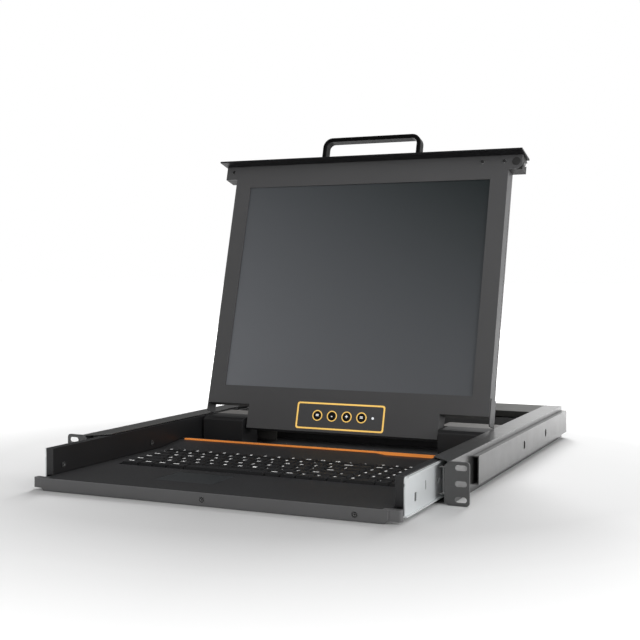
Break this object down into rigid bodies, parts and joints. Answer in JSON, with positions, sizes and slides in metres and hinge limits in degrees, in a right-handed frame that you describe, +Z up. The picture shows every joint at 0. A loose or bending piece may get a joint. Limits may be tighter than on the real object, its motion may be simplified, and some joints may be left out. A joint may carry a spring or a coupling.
{
  "type": "rackmount lcd console drawer",
  "caption": "One-unit rack drawer with a keyboard and touchpad, a hinged flat screen that folds up from it, telescopic slides, rack ears and a chassis with rear sockets.",
  "frame": {"origin": "middle of the bounding box on the underside, at rest: drawer 107 mm out and screen up", "axes": "+X to the user's right, +Y to the rear of the rack, +Z up"},
  "size_m": [0.4826, 0.6412, 0.4175],
  "materials": {
    "chassis_paint": "satin grey powder coat",
    "ear_paint": "satin dark grey powder coat",
    "bezel_paint": "satin dark grey paint",
    "drawer_paint": "satin near-black paint",
    "zinc_steel": "bright zinc plate",
    "handle_coat": "gloss black paint",
    "panel_plastic": "fine-grained black moulding",
    "key_plastic": "matt black moulding",
    "orange_plastic": "gloss orange moulding",
    "screen_glass": "dark anti-glare screen",
    "module_steel": "plain pressed steel",
    "circuit_green": "green solder mask",
    "socket_plastic": "black socket moulding",
    "block_plastic": "light grey moulding",
    "screw_steel": "dark plated steel",
    "bumper_rubber": "soft black rubber",
    "led_lens": "clear diffused lens"
  },
  "bodies": {
    "chassis": {"chassis_tray": "chassis_paint", "ear_left": "ear_paint", "ear_right": "ear_paint", "side_channel_left": "chassis_paint", "side_channel_right": "chassis_paint", "rear_cover": "chassis_paint", "rear_panel": "chassis_paint", "vga_port": "module_steel", "usb_port": "module_steel", "power_inlet": "socket_plastic", "power_supply": "module_steel", "interface_board": "circuit_green", "chassis_slide_left": "zinc_steel", "chassis_slide_right": "zinc_steel"},
    "middle_slide_left": {"middle_slide_left": "zinc_steel"},
    "middle_slide_right": {"middle_slide_right": "zinc_steel"},
    "drawer": {"drawer_tray": "drawer_paint", "front_lip": "bezel_paint", "drawer_screws": "screw_steel", "keyboard_panel": "panel_plastic", "touchpad": "panel_plastic", "orange_trim": "orange_plastic", "key_plate": "module_steel", "keyboard_circuit": "circuit_green", "hinge_block_left": "bezel_paint", "hinge_block_right": "bezel_paint", "hinge_cover_left": "chassis_paint", "hinge_cover_right": "chassis_paint", "drawer_slide_left": "zinc_steel", "drawer_slide_right": "zinc_steel"},
    "display": {"lcd_bezel": "bezel_paint", "lcd_back_cover": "bezel_paint", "lcd_glass": "screen_glass", "lcd_module": "module_steel", "lcd_driver_board": "circuit_green", "osd_board": "circuit_green", "osd_markings": "orange_plastic", "power_led": "led_lens", "end_block_left": "block_plastic", "end_block_right": "block_plastic", "fascia_plate": "bezel_paint", "handle": "handle_coat", "bezel_screws": "screw_steel", "bumper_disc": "bumper_rubber", "hinge_arm_left": "module_steel", "hinge_arm_right": "module_steel"},
    "latch_bolt_left": {"latch_bolt_left": "screw_steel"},
    "latch_bolt_right": {"latch_bolt_right": "screw_steel"},
    "function_keys": {"function_keys": "key_plastic"},
    "number_keys": {"number_keys": "key_plastic"},
    "top_letter_keys": {"top_letter_keys": "key_plastic"},
    "home_letter_keys": {"home_letter_keys": "key_plastic"},
    "lower_letter_keys": {"lower_letter_keys": "key_plastic"},
    "bottom_row_keys": {"bottom_row_keys": "key_plastic"},
    "space_bar": {"space_bar": "key_plastic"},
    "number_pad_keys": {"number_pad_keys": "key_plastic"},
    "osd_button_1": {"osd_button_1": "socket_plastic"},
    "osd_button_2": {"osd_button_2": "socket_plastic"},
    "osd_button_3": {"osd_button_3": "socket_plastic"},
    "osd_button_4": {"osd_button_4": "socket_plastic"}
  },
  "joints": [
    {"name": "drawer_slide", "type": "slide", "parent": "chassis", "child": "drawer", "axis": [0, -1, 0], "range_m": [-0.1095, 0.29]},
    {"name": "middle_slide_left_slide", "type": "slide", "parent": "chassis", "child": "middle_slide_left", "axis": [0, -1, 0], "range_m": [-0.05475, 0.145]},
    {"name": "middle_slide_right_slide", "type": "slide", "parent": "chassis", "child": "middle_slide_right", "axis": [0, -1, 0], "range_m": [-0.05475, 0.145]},
    {"name": "lcd_hinge", "type": "hinge", "parent": "drawer", "child": "display", "pos_m": [0, 0.036, 0.034], "axis": [1, 0, 0], "range_deg": [-10, 105.19]},
    {"name": "osd_button_1_press", "type": "slide", "parent": "display", "child": "osd_button_1", "axis": [0, 0.9651, -0.262], "range_m": [0, 0.001], "stiffness_N_per_m": 600, "springref_m": -0.0006},
    {"name": "osd_button_2_press", "type": "slide", "parent": "display", "child": "osd_button_2", "axis": [0, 0.9651, -0.262], "range_m": [0, 0.001], "stiffness_N_per_m": 600, "springref_m": -0.0006},
    {"name": "osd_button_3_press", "type": "slide", "parent": "display", "child": "osd_button_3", "axis": [0, 0.9651, -0.262], "range_m": [0, 0.001], "stiffness_N_per_m": 600, "springref_m": -0.0006},
    {"name": "osd_button_4_press", "type": "slide", "parent": "display", "child": "osd_button_4", "axis": [0, 0.9651, -0.262], "range_m": [0, 0.001], "stiffness_N_per_m": 600, "springref_m": -0.0006},
    {"name": "latch_bolt_left_slide", "type": "slide", "parent": "display", "child": "latch_bolt_left", "axis": [1, 0, 0], "range_m": [0, 0.004], "stiffness_N_per_m": 900, "springref_m": -0.003},
    {"name": "latch_bolt_right_slide", "type": "slide", "parent": "display", "child": "latch_bolt_right", "axis": [-1, 0, 0], "range_m": [0, 0.004], "stiffness_N_per_m": 900, "springref_m": -0.003},
    {"name": "function_keys_press", "type": "slide", "parent": "drawer", "child": "function_keys", "axis": [0, 0, -1], "range_m": [0, 0.0018], "stiffness_N_per_m": 3000, "springref_m": -0.001},
    {"name": "number_keys_press", "type": "slide", "parent": "drawer", "child": "number_keys", "axis": [0, 0, -1], "range_m": [0, 0.0018], "stiffness_N_per_m": 3000, "springref_m": -0.001},
    {"name": "top_letter_keys_press", "type": "slide", "parent": "drawer", "child": "top_letter_keys", "axis": [0, 0, -1], "range_m": [0, 0.0018], "stiffness_N_per_m": 3000, "springref_m": -0.001},
    {"name": "home_letter_keys_press", "type": "slide", "parent": "drawer", "child": "home_letter_keys", "axis": [0, 0, -1], "range_m": [0, 0.0018], "stiffness_N_per_m": 3000, "springref_m": -0.001},
    {"name": "lower_letter_keys_press", "type": "slide", "parent": "drawer", "child": "lower_letter_keys", "axis": [0, 0, -1], "range_m": [0, 0.0018], "stiffness_N_per_m": 3000, "springref_m": -0.001},
    {"name": "bottom_row_keys_press", "type": "slide", "parent": "drawer", "child": "bottom_row_keys", "axis": [0, 0, -1], "range_m": [0, 0.0018], "stiffness_N_per_m": 3000, "springref_m": -0.001},
    {"name": "space_bar_press", "type": "slide", "parent": "drawer", "child": "space_bar", "axis": [0, 0, -1], "range_m": [0, 0.0018], "stiffness_N_per_m": 3000, "springref_m": -0.001},
    {"name": "number_pad_keys_press", "type": "slide", "parent": "drawer", "child": "number_pad_keys", "axis": [0, 0, -1], "range_m": [0, 0.0018], "stiffness_N_per_m": 3000, "springref_m": -0.001}
  ],
  "couplings": [
    {"joint": "middle_slide_left_slide", "follows": "drawer_slide", "ratio": 0.5},
    {"joint": "middle_slide_right_slide", "follows": "drawer_slide", "ratio": 0.5}
  ]
}
